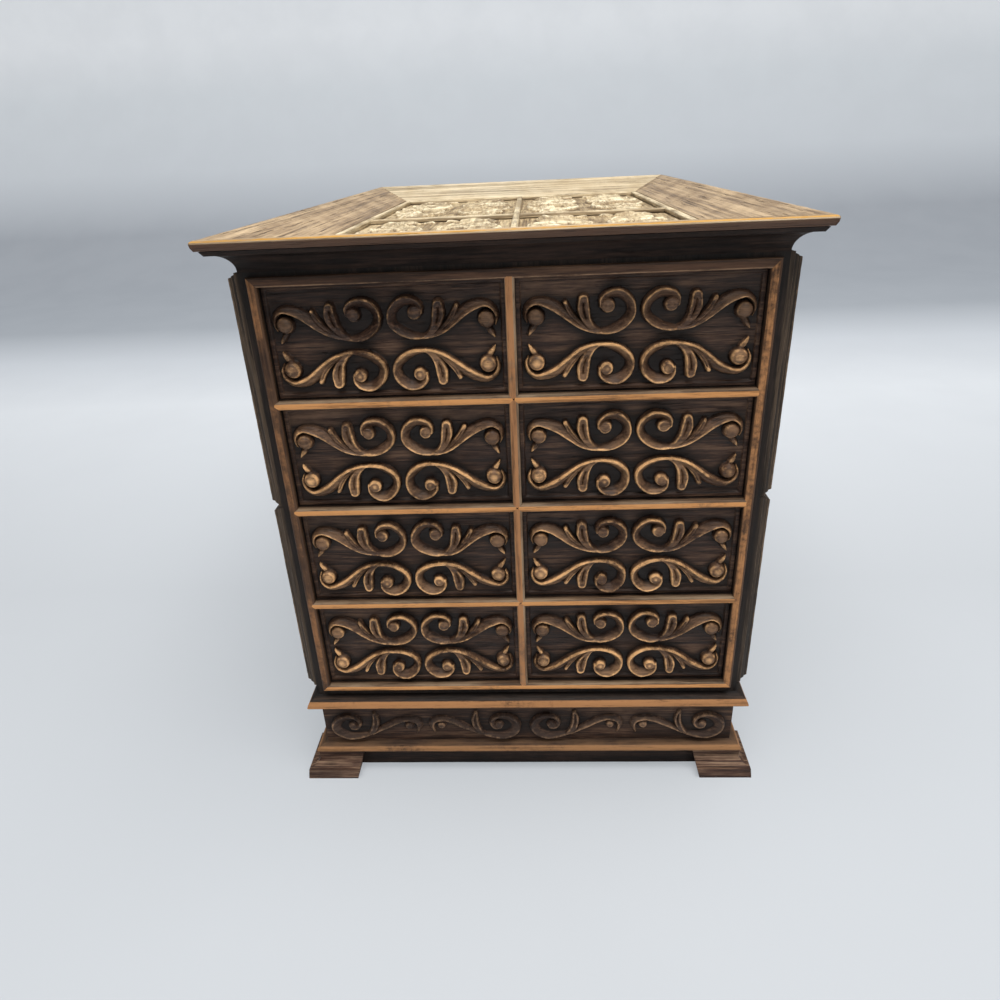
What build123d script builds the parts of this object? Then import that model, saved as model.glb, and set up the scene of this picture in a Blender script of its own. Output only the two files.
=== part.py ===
from build123d import *
import math
import os

os.makedirs("parts", exist_ok=True)

# Driving dimensions, millimetres. Origin at the middle of the footprint, on the floor.
# The front faces -Y, +X is to the right and +Z is up.

# Case
case_width = 207.0
case_depth = 348.0
side_thickness = 7.0
back_thickness = 4.0
top_board_thickness = 3.0
housing_depth = 2.0
side_rise = 1.7

# Front grid of beads
columns = 2
rows = 4
row_pitch = 49.0
grid_lift = 4.2
bead_width = 3.5
bead_proud = 3.0
bead_bevel = 0.8

# Drawers
drawer_gap = 0.35
drawer_stop_gap = 0.4
front_thickness = 4.0
ground_setback = 2.2
ledge_width = 1.6
ledge_proud = 1.1
ledge_slope = 30
box_wall = 2.5
box_floor = 2.0
box_drop = 4.0
lining_wall = 0.8
lining_floor = 1.2
lining_drop = 3.0
lining_gap = 0.1

# Carved relief: the drawn scrolls are fitted to their cells up to these margins
scroll_margin = 0.55
scroll_drop = 1.5
top_margin = 4.4
frieze_margin = 1.6
frieze_fold = 0.75
relief_height = 3.8
eye_height = 4.6
eye_facets = 7
frieze_relief = 2.2
frieze_eye = 2.8
top_relief = 2.6
top_eye = 3.0

# Base
plinth_thickness = 7.0
skirt_clearance = 0.6
foot_height = 13.0
foot_spread = 10.1
foot_toe = 0.6
foot_toe_height = 5.4
foot_round = 0.95
foot_waist = 4.3
foot_neck = 4.3
foot_length_top = 19.0
foot_length_bottom = 15.8
base_moulding_height = 4.0
base_moulding_spread = 5.1
base_moulding_face = 2.7
cap_height = 5.8
cap_top = 47.8
cap_spread = 5.6
cap_face = 3.9
moulding_edge = 0.8
moulding_batter = 1.2

# Cornice and top
cove_radius = 7.2
cove_gap = 1.8
cornice_step = 1.1
fillet_height = 1.9
fillet_slant = 1.2
shoulder_drop = 2.0
rim_land = 2.0
rim_overhang = 2.0
rim_height = 4.2
rim_nose = 1.4
top_board_width = 25.0
dish_depth = 10.0
rim_flat = 2.2
panel_ground = 2.4

# Side panels
panel_thickness = 5.6
panel_toe = 2.2
panel_step = 0.8
panel_bevel = 1.6
panel_setback = 0.5
panel_seam = 0.3
panel_frame = 15.0
panel_sink = 1.8
panel_floor_gap = 5.2
panel_field_slope = 40

# Levels and planes worked out from the values above
front_y = -case_depth / 2
ground_y = front_y + ground_setback
inner_half_width = case_width / 2 - side_thickness
inner_back_y = case_depth / 2 - back_thickness
dust_board = bead_width
grid_width = 2 * (inner_half_width + bead_width)
grid_bottom = cap_top + grid_lift
column_pitch = (grid_width - bead_width) / columns
cell_width = column_pitch - bead_width
cell_height = row_pitch - bead_width
grid_height = rows * row_pitch + bead_width
grid_top = grid_bottom + grid_height
opening_bottom = grid_bottom + bead_width
opening_top = grid_top - bead_width
cornice_bottom = grid_top + cove_gap
fillet_bottom = cornice_bottom + cove_radius
rim_bottom = fillet_bottom + fillet_height
rim_top = rim_bottom + rim_height
top_board_top = opening_top + top_board_thickness
panel_top = top_board_top + panel_ground
dish_bottom = rim_top - dish_depth
side_top = cornice_bottom + side_rise
shoulder_z = fillet_bottom - shoulder_drop
cornice_spread = cove_radius + cornice_step + fillet_slant
rim_seat = cornice_spread - rim_land
rim_spread = cornice_spread + rim_overhang
top_half_width = case_width / 2 + rim_spread
top_half_depth = case_depth / 2 + rim_spread
inner_top_half_width = top_half_width - top_board_width
inner_top_half_depth = top_half_depth - top_board_width


def save(part, name):
    part.label = name
    export_step(part, "parts/" + name + ".step")


def front_plane(x, y, z):
    """A sketch plane that faces the front, with its own x to the right and its own y up."""
    return Plane(origin=(x, y, z), x_dir=(1, 0, 0), z_dir=(0, -1, 0))


def side_plane(side, y, z, x):
    """A sketch plane on the left (-1) or right (1) flank, facing outward, with its own y up."""
    return Plane(origin=(side * x, y, z), x_dir=(0, side, 0), z_dir=(side, 0, 0))


def board(width, depth, height, x=0, y=0, z=0):
    """A plain board, centred on x and y, standing on z."""
    with BuildPart(Plane.XY.offset(z)) as made:
        with Locations((x, y)):
            Box(width, depth, height, align=(Align.CENTER, Align.CENTER, Align.MIN))
    return made.part


# Case: two sides with housings for the boards
def case_side(side):
    height = side_top - cap_top
    centre_x = side * (case_width - side_thickness) / 2
    groove_x = side * (inner_half_width + housing_depth / 2)
    with BuildPart() as made:
        with Locations((centre_x, 0, cap_top)):
            Box(side_thickness, case_depth, height, align=(Align.CENTER, Align.CENTER, Align.MIN))
        with Locations(*[(groove_x, 0, opening_bottom + k * row_pitch - bead_width) for k in range(1, rows)]):
            Box(housing_depth, case_depth, dust_board,
                align=(Align.CENTER, Align.CENTER, Align.MIN), mode=Mode.SUBTRACT)
        with Locations((side * inner_half_width, case_depth / 2, cap_top)):
            Box(2 * housing_depth, 2 * back_thickness, 2 * height, mode=Mode.SUBTRACT)
    return made.part


save(case_side(-1), "left_side")
save(case_side(1), "right_side")

inner_width = 2 * inner_half_width
board_depth = inner_back_y - front_y
board_centre_y = (inner_back_y + front_y) / 2

save(board(inner_width, board_depth, opening_bottom - cap_top, 0, board_centre_y, cap_top), "bottom_board")
save(
    board(inner_width + 2 * housing_depth, back_thickness, side_top - cap_top, 0,
          case_depth / 2 - back_thickness / 2, cap_top),
    "back_panel",
)

with BuildPart() as top_board:
    add(board(inner_width, board_depth, top_board_thickness, 0, board_centre_y, opening_top))
    add(board(inner_width, side_thickness, side_top - top_board_top, 0,
              front_y + side_thickness / 2, top_board_top))
save(top_board.part, "top_board")

# Centre partition and dust boards cross with halved joints
with BuildPart() as partition:
    with Locations((0, board_centre_y, opening_bottom)):
        Box(bead_width, board_depth, opening_top - opening_bottom,
            align=(Align.CENTER, Align.CENTER, Align.MIN))
    with Locations(*[(0, board_centre_y - board_depth / 4, opening_bottom + k * row_pitch - bead_width)
                     for k in range(1, rows)]):
        Box(bead_width, board_depth / 2, dust_board,
            align=(Align.CENTER, Align.CENTER, Align.MIN), mode=Mode.SUBTRACT)
save(partition.part, "centre_partition")

for k in range(1, rows):
    with BuildPart(Plane.XY.offset(opening_bottom + k * row_pitch - bead_width)) as dust:
        with Locations((0, board_centre_y)):
            Box(inner_width + 2 * housing_depth, board_depth, dust_board,
                align=(Align.CENTER, Align.CENTER, Align.MIN))
        with Locations((0, board_centre_y + board_depth / 4)):
            Box(bead_width, board_depth / 2, dust_board,
                align=(Align.CENTER, Align.CENTER, Align.MIN), mode=Mode.SUBTRACT)
    save(dust.part, f"dust_board_{k}")


# Beads: one bar with bevelled edges and pointed ends
def bevelled_bar(outline, plane, edge_axis):
    """A flat bar cut to the outline, rising from the plane, with its two long front edges bevelled."""
    with BuildPart() as made:
        with BuildSketch(plane):
            with BuildLine():
                Polyline(*outline, close=True)
            make_face()
        extrude(amount=bead_proud)
        outer = made.faces().filter_by(plane).sort_by(Axis(plane.origin, plane.z_dir))[-1]
        long_edges = outer.edges().filter_by(edge_axis).sort_by(SortBy.LENGTH)[-2:]
        chamfer(long_edges, bead_bevel)
    return made.part


def inner_bead(length, plane, edge_axis):
    """A bead between two others: its ends are points that reach the middle of what they meet."""
    half = bead_width / 2
    end = length / 2
    upper = [(-end, 0), (-end + half, half), (end - half, half), (end, 0)]
    lower = [(end - half, -half), (-end + half, -half)]
    return bevelled_bar(upper + lower, plane, edge_axis)


def outer_bead(length, inward, plane, edge_axis):
    """A bead of the outer frame, mitred at its corners; inward is the side that its short edge lies on."""
    half = bead_width / 2
    short, long = length / 2 - half, length / 2 + half
    inner_edge = [(-short, inward * half), (short, inward * half)]
    outer_edge = [(long, -inward * half), (-long, -inward * half)]
    return bevelled_bar(inner_edge + outer_edge, plane, edge_axis)


def upright_plane(x, y, z):
    """As front_plane, turned so that its own x runs up."""
    return Plane(origin=(x, y, z), x_dir=(0, 0, 1), z_dir=(0, -1, 0))


centre_z = grid_bottom + grid_height / 2
span_x = grid_width - bead_width
span_z = grid_height - bead_width

centre_bead = inner_bead(span_z, upright_plane(0, front_y, centre_z), Axis.Z)
rail_beads = [
    inner_bead(span_x, front_plane(0, front_y, grid_bottom + bead_width / 2 + k * row_pitch), Axis.X)
    for k in range(1, rows)
]
with BuildPart() as bead_grid:
    add([centre_bead] + rail_beads)
save(bead_grid.part, "bead_grid")

frame_beads = {
    "bead_left": outer_bead(span_z, -1, upright_plane(-span_x / 2, front_y, centre_z), Axis.Z),
    "bead_right": outer_bead(span_z, 1, upright_plane(span_x / 2, front_y, centre_z), Axis.Z),
    "bead_bottom": outer_bead(span_x, 1, front_plane(0, front_y, grid_bottom + bead_width / 2), Axis.X),
    "bead_top": outer_bead(span_x, -1, front_plane(0, front_y, grid_top - bead_width / 2), Axis.X),
}
for name, bead in frame_beads.items():
    with BuildPart() as fitted:
        add(bead)
        add(bead_grid.part, mode=Mode.SUBTRACT)
    save(fitted.part, name)


# Mouldings: each profile is drawn as (outward from the case's face, height) and run along one side
outward_of = {"front": (0, -1), "right": (1, 0), "back": (0, 1), "left": (-1, 0)}


def mitred_run(profile, side):
    """The profile run along one side of the case and mitred at both ends."""
    out_x, out_y = outward_of[side]
    half = case_width / 2 if out_x == 0 else case_depth / 2
    reach = case_depth / 2 if out_x == 0 else case_width / 2
    centre = Vector(out_x * reach, out_y * reach, 0)
    outward = Vector(out_x, out_y, 0)
    along = outward.cross(Vector(0, 0, 1))
    with BuildPart() as made:
        with BuildSketch(Plane(origin=centre, x_dir=outward, z_dir=along)):
            add(profile)
        extrude(amount=half + 2 * rim_spread, both=True)
        split(bisect_by=Plane(origin=centre + along * half, z_dir=along - outward), keep=Keep.BOTTOM)
        split(bisect_by=Plane(origin=centre - along * half, z_dir=-along - outward), keep=Keep.BOTTOM)
    return made.part


def moulding_ring(profile):
    """The profile run right round the case as one piece."""
    runs = [mitred_run(profile, side) for side in outward_of]
    with BuildPart() as ring:
        add(runs)
    return ring.part


# Plinth boards, which run on down as the skirt, under the case
with BuildSketch() as plinth_profile:
    with Locations((-plinth_thickness, skirt_clearance)):
        Rectangle(plinth_thickness, cap_top - skirt_clearance, align=(Align.MIN, Align.MIN))

base_top = foot_height + base_moulding_height
cap_bottom = cap_top - cap_height


def nosed_profile(bottom, top, spread, face):
    """A moulding with a small lower edge, a nearly upright face and a slope back up to the case."""
    with BuildSketch() as profile:
        with BuildLine():
            Polyline((0, bottom), (spread - moulding_edge, bottom), (spread, bottom + moulding_edge),
                     (spread - moulding_batter, bottom + face), (0, top), close=True)
        make_face()
    return profile.sketch


save(moulding_ring(nosed_profile(foot_height, base_top, base_moulding_spread, base_moulding_face)),
     "base_moulding")
save(moulding_ring(nosed_profile(cap_bottom, cap_top, cap_spread, cap_face)), "cap_moulding")

# Feet: a flared ring cut through in the middle of each side, which leaves four corner brackets
foot_shoulder = foot_height - foot_neck
toe_top = (foot_spread - foot_toe, foot_toe_height)
with BuildSketch() as foot_profile:
    with BuildLine():
        Polyline((foot_waist, foot_shoulder), (foot_waist, foot_height), (0, foot_height), (0, 0),
                 (foot_spread, 0), toe_top)
        SagittaArc(toe_top, (foot_waist, foot_shoulder), foot_round)
    make_face()


def foot_gap(half_side, far):
    """The prism between two feet, seen from one side of the case: narrower at the top."""
    top, bottom = half_side - foot_length_top, half_side - foot_length_bottom
    with BuildPart() as gap:
        with BuildSketch(Plane.XZ):
            with BuildLine():
                Polyline((-bottom, 0), (bottom, 0), (top, foot_height), (-top, foot_height), close=True)
            make_face()
        extrude(amount=far, both=True)
    return gap.part


gap_x = foot_gap(case_width / 2, case_depth)
gap_y = foot_gap(case_depth / 2, case_width).rotate(Axis.Z, 90)
foot_ring = moulding_ring(foot_profile.sketch)
with BuildPart() as feet:
    add(foot_ring)
    add(gap_x, mode=Mode.SUBTRACT)
    add(gap_y, mode=Mode.SUBTRACT)
for foot in feet.solids():
    across = "left" if foot.center().X < 0 else "right"
    along = "front" if foot.center().Y < 0 else "back"
    save(foot, f"foot_{along}_{across}")

# Cornice: a cove under a small fillet, round the case below the rim
with BuildSketch() as cornice_profile:
    with BuildLine():
        RadiusArc((0, cornice_bottom), (cove_radius, fillet_bottom), -cove_radius)
        Polyline((cove_radius, fillet_bottom), (cove_radius + cornice_step, fillet_bottom),
                 (cornice_spread, rim_bottom), (rim_seat, rim_bottom), (0, shoulder_z), (0, cornice_bottom))
    make_face()
save(moulding_ring(cornice_profile.sketch), "cornice")

# Top boards: a rounded rim, then a slope down to the carved panel, seated on the cornice, sides and top board
slope_end = top_board_width - rim_spread
nose_start = rim_spread - rim_nose
with BuildSketch() as rim_profile:
    with BuildLine():
        Polyline((nose_start, rim_bottom), (rim_seat, rim_bottom), (0, shoulder_z), (0, side_top),
                 (-side_thickness, side_top), (-side_thickness, top_board_top), (-slope_end, top_board_top),
                 (-slope_end, dish_bottom), (rim_spread - rim_flat, rim_top), (nose_start, rim_top))
        ThreePointArc((nose_start, rim_top), (rim_spread, rim_top - rim_height / 2), (nose_start, rim_bottom))
    make_face()
for side in outward_of:
    save(mitred_run(rim_profile.sketch, side), f"top_rail_{side}")

# Side panels: two framed boards on each flank, one above the other, with bevelled edges and a sunk field
panel_height = (cornice_bottom - cap_top - panel_floor_gap - panel_seam) / 2
panel_depth = case_depth - 2 * panel_setback
panel_slope = math.degrees(math.atan(panel_bevel / (panel_thickness - panel_toe)))
panel_frame_inset = 2 * (panel_step + panel_bevel + panel_frame)


def side_panel(side, bottom):
    centre = bottom + panel_height / 2
    with BuildPart() as panel:
        with BuildSketch(side_plane(side, 0, centre, case_width / 2)):
            Rectangle(panel_depth, panel_height)
        extrude(amount=panel_toe)
        with BuildSketch(side_plane(side, 0, centre, case_width / 2 + panel_toe)):
            Rectangle(panel_depth - 2 * panel_step, panel_height - 2 * panel_step)
        extrude(amount=panel_thickness - panel_toe, taper=panel_slope)
        with BuildSketch(side_plane(side, 0, centre, case_width / 2 + panel_thickness)):
            Rectangle(panel_depth - panel_frame_inset, panel_height - panel_frame_inset)
        extrude(amount=-panel_sink, taper=panel_field_slope, mode=Mode.SUBTRACT)
    return panel.part


panel_levels = {
    "lower": cap_top + panel_floor_gap,
    "upper": cap_top + panel_floor_gap + panel_height + panel_seam,
}
for level, bottom in panel_levels.items():
    save(side_panel(-1, bottom), f"side_panel_left_{level}")
    save(side_panel(1, bottom), f"side_panel_right_{level}")

# Scrolls: one quarter of each carved design. Its own x runs out from the upright axis of a cell, and its
# own y up from the level axis. Each band is a spine of (x, y, half width) and the number of facets along it,
# and each eye is (x, y, radius). Both designs are drawn at the size that they have on the real front.
front_bands = {
    "volute": ([(13.6, 2.6, 1.1), (9.4, 3.0, 1.45), (5.4, 5.3, 1.45), (2.3, 9.8, 1.4), (4.2, 14.7, 1.45),
                (8.6, 17.1, 1.6), (12.6, 15.8, 1.5), (14.0, 13.0, 0.9)], 6),
    "stem": ([(12.5, 2.5, 0.6), (21.5, 5.2, 1.1), (32.5, 12.9, 2.2), (39.9, 14.8, 1.1), (42.9, 12.2, 1.0),
              (43.9, 8.3, 0.5)], 5),
    "broad_leaf": ([(15.5, 3.1, 0.8), (19.3, 6.2, 1.8), (21.0, 10.5, 2.5), (20.8, 16.6, 1.3)], 3),
    "narrow_leaf": ([(20.5, 5.6, 0.8), (24.6, 8.7, 1.2), (27.2, 12.0, 1.35), (28.7, 15.0, 0.9)], 2),
}
front_eyes = [(12.0, 12.5, 2.95), (39.4, 8.7, 3.5)]

frieze_bands = {
    "volute": ([(20.7, 4.6, 0.8), (10.2, 3.5, 1.7), (5.4, 6.5, 2.0), (4.1, 10.6, 2.1), (6.5, 14.6, 2.0),
                (11.3, 16.2, 1.8), (16.1, 15.2, 1.6), (18.0, 11.4, 0.8)], 7),
    "stem": ([(23.2, 5.0, 0.6), (31.7, 10.8, 1.5), (36.7, 13.8, 1.6), (41.7, 15.0, 1.4), (46.3, 14.0, 1.7),
              (47.7, 10.6, 1.5), (46.3, 5.6, 0.4)], 6),
    "leaf": ([(18.2, 2.9, 0.6), (24.6, 9.4, 1.9), (25.5, 14.0, 2.0), (24.5, 21.3, 0.3)], 3),
}
frieze_eyes = [(13.4, 11.7, 2.6), (42.7, 10.9, 2.3)]


def band_outline(spine, facets):
    """The outline of a band that follows a smooth spine, with as many straight facets along each side."""
    curve = Edge.make_spline([Vector(*row) for row in spine])
    left, right = [], []
    for k in range(facets + 1):
        at = curve @ (k / facets)
        heading = curve % (k / facets)
        across = Vector(-heading.Y, heading.X).normalized() * at.Z
        left.append((at.X + across.X, at.Y + across.Y))
        right.append((at.X - across.X, at.Y - across.Y))
    return left + right[::-1]


def band_sketch(bands):
    with BuildSketch() as quarter:
        for spine, facets in bands.values():
            with BuildLine():
                Polyline(*band_outline(spine, facets), close=True)
            make_face()
    return quarter.sketch


def eye_sketch(eyes):
    with BuildSketch() as quarter:
        for x, y, radius in eyes:
            with Locations((x, y)):
                RegularPolygon(radius, eye_facets)
    return quarter.sketch


def fitted(quarter_bands, quarter_eyes, width, height):
    """Both sketches of a quarter, grown or shrunk by one factor to reach this width and height at most."""
    reach = quarter_bands.bounding_box().max
    factor = min(width / reach.X, height / reach.Y)
    return scale(quarter_bands, by=factor), scale(quarter_eyes, by=factor)


def mirrored_four(quarter):
    """The quarter with its mirror images, as one sketch round the origin."""
    with BuildSketch() as whole:
        add(quarter)
        mirror(about=Plane.YZ)
        mirror(about=Plane.XZ)
    return whole.sketch


quarter_bands = band_sketch(front_bands)
quarter_eyes = eye_sketch(front_eyes)

# Drawers: the front, box and lining are drawn once, in the lower left cell, and placed in every cell
cell_x = -column_pitch / 2
cell_z = opening_bottom + cell_height / 2
plate_width = cell_width - 2 * drawer_gap
plate_height = cell_height - 2 * drawer_gap
plate_back_y = ground_y + front_thickness
ground_width = plate_width - 2 * ledge_width
ground_height = plate_height - 2 * ledge_width
front_quarter, front_quarter_eyes = fitted(quarter_bands, quarter_eyes, ground_width / 2 - scroll_margin,
                                           ground_height / 2 - scroll_drop - scroll_margin)

with BuildPart() as drawer_front:
    with BuildSketch(front_plane(cell_x, plate_back_y, cell_z)):
        Rectangle(plate_width, plate_height)
    extrude(amount=front_thickness + ledge_proud)
    with BuildSketch(front_plane(cell_x, ground_y - ledge_proud, cell_z)):
        Rectangle(ground_width, ground_height)
    extrude(amount=-ledge_proud, taper=ledge_slope, mode=Mode.SUBTRACT)
    with BuildSketch(front_plane(cell_x, ground_y, cell_z - scroll_drop)):
        add(mirrored_four(front_quarter))
    extrude(amount=relief_height)
    with BuildSketch(front_plane(cell_x, ground_y, cell_z - scroll_drop)):
        add(mirrored_four(front_quarter_eyes))
    extrude(amount=eye_height)

box_depth = inner_back_y - drawer_stop_gap - plate_back_y
box_height = cell_height - box_drop
box_centre_y = plate_back_y + box_depth / 2
cavity_width = plate_width - 2 * box_wall
cavity_depth = box_depth - 2 * box_wall

with BuildPart() as drawer_box:
    add(board(plate_width, box_depth, box_height, cell_x, box_centre_y, opening_bottom))
    add(board(cavity_width, cavity_depth, box_height, cell_x, box_centre_y, opening_bottom + box_floor),
        mode=Mode.SUBTRACT)

lining_width = cavity_width - 2 * lining_gap
lining_depth = cavity_depth - 2 * lining_gap
lining_height = box_height - box_floor - lining_drop
lining_bottom = opening_bottom + box_floor

with BuildPart() as drawer_lining:
    add(board(lining_width, lining_depth, lining_height, cell_x, box_centre_y, lining_bottom))
    add(board(lining_width - 2 * lining_wall, lining_depth - 2 * lining_wall, lining_height,
              cell_x, box_centre_y, lining_bottom + lining_floor), mode=Mode.SUBTRACT)

for row in range(rows):
    for column in range(columns):
        number = 1 + (rows - 1 - row) * columns + column
        place = Location((column * column_pitch, 0, row * row_pitch))
        save(drawer_front.part.moved(place), f"drawer_front_{number}")
        save(drawer_box.part.moved(place), f"drawer_box_{number}")
        save(drawer_lining.part.moved(place), f"drawer_lining_{number}")

# Plinth boards: the front one carries the frieze, four upright halves of the scroll side by side
for side in ("left", "right", "back"):
    save(mitred_run(plinth_profile.sketch, side), f"plinth_{side}")

fold_x = case_width / 4 - frieze_fold
frieze_quarter, frieze_quarter_eyes = fitted(band_sketch(frieze_bands), eye_sketch(frieze_eyes),
                                             fold_x - frieze_margin, cap_bottom - base_top - frieze_margin)


def frieze_row(quarter):
    """Four upright quarters in a row: each half of the row mirrors itself, and the row mirrors about x = 0."""
    with BuildSketch() as row:
        add(quarter)
        mirror(about=Plane.YZ.offset(fold_x))
        mirror(about=Plane.YZ)
    return row.sketch


with BuildPart() as plinth_front:
    add(mitred_run(plinth_profile.sketch, "front"))
    with BuildSketch(front_plane(0, front_y, base_top)):
        add(frieze_row(frieze_quarter))
    extrude(amount=frieze_relief)
    with BuildSketch(front_plane(0, front_y, base_top)):
        add(frieze_row(frieze_quarter_eyes))
    extrude(amount=frieze_eye)
save(plinth_front.part, "plinth_front")

# Top panel: the same scroll, larger and turned to run front to back, in each of its four cells
panel_width = 2 * inner_top_half_width
panel_length = 2 * inner_top_half_depth
top_span_x = panel_width - bead_width
top_span_y = panel_length - bead_width
top_cell_x = top_span_x / 4
top_cell_y = top_span_y / 4
top_places = [(x, y) for x in (-top_cell_x, top_cell_x) for y in (-top_cell_y, top_cell_y)]
top_quarter, top_quarter_eyes = fitted(quarter_bands, quarter_eyes, top_cell_y - bead_width / 2 - top_margin,
                                       top_cell_x - bead_width / 2 - top_margin)

with BuildPart() as top_panel:
    add(board(panel_width, panel_length, panel_ground, 0, 0, top_board_top))
    with BuildSketch(Plane.XY.offset(panel_top)):
        for x, y in top_places:
            with Locations(Location((x, y, 0), (0, 0, 90))):
                add(mirrored_four(top_quarter))
    extrude(amount=top_relief)
    with BuildSketch(Plane.XY.offset(panel_top)):
        for x, y in top_places:
            with Locations(Location((x, y, 0), (0, 0, 90))):
                add(mirrored_four(top_quarter_eyes))
    extrude(amount=top_eye)
save(top_panel.part, "top_panel")


def top_plane(x, y, x_dir):
    """A sketch plane on the top panel's ground."""
    return Plane(origin=(x, y, panel_top), x_dir=x_dir, z_dir=(0, 0, 1))


with BuildPart() as top_bead_grid:
    add(inner_bead(top_span_y, top_plane(0, 0, (0, 1, 0)), Axis.Y))
    add(inner_bead(top_span_x, top_plane(0, 0, (1, 0, 0)), Axis.X))
    add(outer_bead(top_span_y, -1, top_plane(-top_span_x / 2, 0, (0, 1, 0)), Axis.Y))
    add(outer_bead(top_span_y, 1, top_plane(top_span_x / 2, 0, (0, 1, 0)), Axis.Y))
    add(outer_bead(top_span_x, 1, top_plane(0, -top_span_y / 2, (1, 0, 0)), Axis.X))
    add(outer_bead(top_span_x, -1, top_plane(0, top_span_y / 2, (1, 0, 0)), Axis.X))
save(top_bead_grid.part, "top_bead_grid")
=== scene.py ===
"""Looks of the carved jewelry drawer box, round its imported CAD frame.

Sizes are millimetres until a mesh is made; the camera, the floor and the lamps are placed in metres."""

import math

import bpy
import numpy as np
from mathutils import Matrix, Vector


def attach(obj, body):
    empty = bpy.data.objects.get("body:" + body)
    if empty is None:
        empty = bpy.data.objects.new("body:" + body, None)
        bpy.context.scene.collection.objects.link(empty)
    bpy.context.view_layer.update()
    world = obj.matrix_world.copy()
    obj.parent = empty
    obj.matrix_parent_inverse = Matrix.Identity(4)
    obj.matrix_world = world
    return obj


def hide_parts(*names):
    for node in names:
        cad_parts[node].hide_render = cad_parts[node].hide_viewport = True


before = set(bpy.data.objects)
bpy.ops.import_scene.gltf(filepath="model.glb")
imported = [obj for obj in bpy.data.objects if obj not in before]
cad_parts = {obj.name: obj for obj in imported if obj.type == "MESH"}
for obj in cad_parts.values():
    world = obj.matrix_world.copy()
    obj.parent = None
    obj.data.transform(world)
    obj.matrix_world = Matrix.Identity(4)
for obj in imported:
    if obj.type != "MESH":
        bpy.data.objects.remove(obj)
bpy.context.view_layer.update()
MM = 0.001

# Sizes shared with the CAD model, millimetres
CASE_X, CASE_Y = 103.5, 174.0
BEAD, BEAD_FACE, RAIL_TOP = 3.5, 4.0, 1.68
COLUMN_PITCH, ROW_PITCH = 98.25, 49.0
COLUMNS, ROWS = 2, 4
GRID_BOTTOM = 52.0
GRID_WIDTH = COLUMNS * COLUMN_PITCH + BEAD
GRID_HEIGHT = ROWS * ROW_PITCH + BEAD
GROUND_Y = -171.8
PLATE_DEPTH = 4.0
PLATE = (94.05, 44.8)
LEDGE, LEDGE_PROUD = 1.6, 1.1
FRONT_RELIEF = 4.55
SCROLL_DROP = 1.5
SKIRT_BOTTOM, FRIEZE_BOTTOM, FRIEZE_TOP, CAP_TOP = 0.6, 17.0, 42.0, 47.8
FRIEZE_FOLD = 51.0
FRIEZE_RELIEF = 2.75
PANEL_Z = ((53.0, 153.0), (153.3, 253.3))
PANEL_HALF_DEPTH = 173.5
PANEL_TOE, PANEL_STEP, PANEL_BEVEL, PANEL_FACE, PANEL_FIELD = 2.2, 0.8, 1.6, 5.6, 3.8
TOP_HALF = (90.0, 160.5)
PANEL_TOP = 253.4
TOP_RELIEF = 2.95
TOP_SCALE = (1.65, 2.05)

# Mesh steps in millimetres, and the angles in degrees over which an edge stays sharp
FRONT_CELL, FRIEZE_CELL, TOP_CELL, FIELD_CELL = 0.32, 0.4, 0.8, 0.9
RING_SPACING, OUTLINE_STEP, DENT_DEPTH = 2.2, 1.3, 0.12
SLAB_SHARP, STRIP_SHARP = 60, 38

# Reach of the blurs that find a relief's crests and its hollows, millimetres
CREST_REACH, HOLLOW_REACH = 0.8, 3.2

# Waves summed for a lump or a grain, samples on each span of a curve, and the least half width of a band
LUMP_WAVES, GRAIN_WAVES, CURVE_STEPS, LEAST_HALF = 5, 9, 10, 0.05

# How far the hand-cut scrolls stray from their drawing, and the height where carving starts
STRAY, FRIEZE_STRAY, CARVED_FROM = 0.35, 0.3, 0.05


# Number helpers
def smooth_step(low, high, value):
    t = np.clip((value - low) / (high - low), 0.0, 1.0)
    return t * t * (3.0 - 2.0 * t)


def wobble(x, y, seed, scale):
    """Smooth seeded noise between about -1 and 1; scale is the size of its features."""
    rng = np.random.default_rng(seed)
    total = np.zeros(np.broadcast(x, y).shape)
    for _ in range(LUMP_WAVES):
        angle, phase = rng.uniform(0.0, 2.0 * math.pi, 2)
        rate = rng.uniform(0.6, 1.6) / scale
        total = total + np.sin((x * math.cos(angle) + y * math.sin(angle)) * rate * 2.0 + phase)
    return total / LUMP_WAVES * 1.4


def streaks(along, across, seed, length, width):
    """Wood grain as a height: long along one way, narrow across the other."""
    rng = np.random.default_rng(seed)
    bend = wobble(along, across, seed + 7, length * 1.5) * width * 1.2
    total = np.zeros(np.broadcast(along, across).shape)
    for _ in range(GRAIN_WAVES):
        rate = rng.uniform(0.5, 2.2) / width
        phase = rng.uniform(0.0, 2.0 * math.pi)
        drift = np.sin(along / length * rng.uniform(0.5, 1.5) + rng.uniform(0.0, 6.0))
        total = total + np.sin((across + bend) * rate * 2.0 + phase) * drift
    return total / GRAIN_WAVES * 2.0


def blurred(field, radius):
    """A Gaussian blur of a grid, radius in cells."""
    reach = int(math.ceil(radius * 2.5))
    weights = np.exp(-0.5 * (np.arange(-reach, reach + 1) / radius) ** 2)
    weights /= weights.sum()
    for axis in (0, 1):
        padded = np.pad(field, [(reach, reach) if a == axis else (0, 0) for a in (0, 1)], mode="edge")
        size = field.shape[axis]
        field = sum(w * np.take(padded, range(k, k + size), axis=axis) for k, w in enumerate(weights))
    return field


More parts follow.
